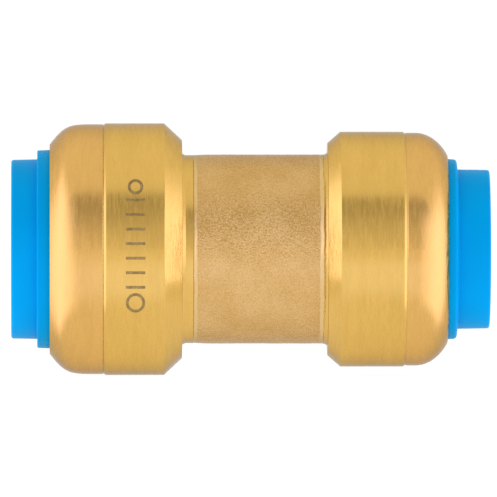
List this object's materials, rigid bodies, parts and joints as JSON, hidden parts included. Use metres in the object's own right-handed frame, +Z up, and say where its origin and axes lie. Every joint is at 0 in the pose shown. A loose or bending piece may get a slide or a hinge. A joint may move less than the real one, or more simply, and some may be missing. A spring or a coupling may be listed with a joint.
{
  "type": "push-fit pipe coupling",
  "caption": "Reducing push-fit coupling for copper pipe: forged brass body, rounded end caps, blue release collars that press in, grab rings and seals inside.",
  "frame": {"origin": "on the pipe axis, at the middle of the overall length", "axes": "+X along the pipe axis towards the smaller, 15 mm socket; +Z up; +Y towards the far side when the 18 mm socket is on the left"},
  "size_m": [0.0568, 0.03, 0.03],
  "materials": {
    "forged_brass": "hot-forged and shot-blasted waist, turned collars with fine circumferential tool lines",
    "turned_brass": "fine turned, satin",
    "blue_acetal": "moulded, satin",
    "natural_acetal": "moulded, matt",
    "spring_steel": "bright rolled stainless sheet",
    "seal_rubber": "moulded, lightly greased"
  },
  "bodies": {
    "housing": {"fitting_body": "forged_brass", "end_cap_18": "turned_brass", "grab_ring_seat_18": "natural_acetal", "seal_protector_18": "natural_acetal", "seal_ring_18": "seal_rubber", "end_cap_15": "turned_brass", "grab_ring_seat_15": "natural_acetal", "seal_protector_15": "natural_acetal", "seal_ring_15": "seal_rubber"},
    "grip_18": {"grab_ring_18": "spring_steel"},
    "collar_18": {"release_collar_18": "blue_acetal"},
    "grip_15": {"grab_ring_15": "spring_steel"},
    "collar_15": {"release_collar_15": "blue_acetal"}
  },
  "joints": [
    {"name": "swivel_18", "type": "hinge", "parent": "housing", "child": "grip_18", "pos_m": [-0.014, 0, 0], "axis": [1, 0, 0], "continuous": true},
    {"name": "release_18", "type": "slide", "parent": "grip_18", "child": "collar_18", "axis": [1, 0, 0], "range_m": [0, 0.002], "stiffness_N_per_m": 300},
    {"name": "swivel_15", "type": "hinge", "parent": "housing", "child": "grip_15", "pos_m": [0.0145, 0, 0], "axis": [1, 0, 0], "continuous": true},
    {"name": "release_15", "type": "slide", "parent": "grip_15", "child": "collar_15", "axis": [-1, 0, 0], "range_m": [0, 0.002], "stiffness_N_per_m": 300}
  ]
}
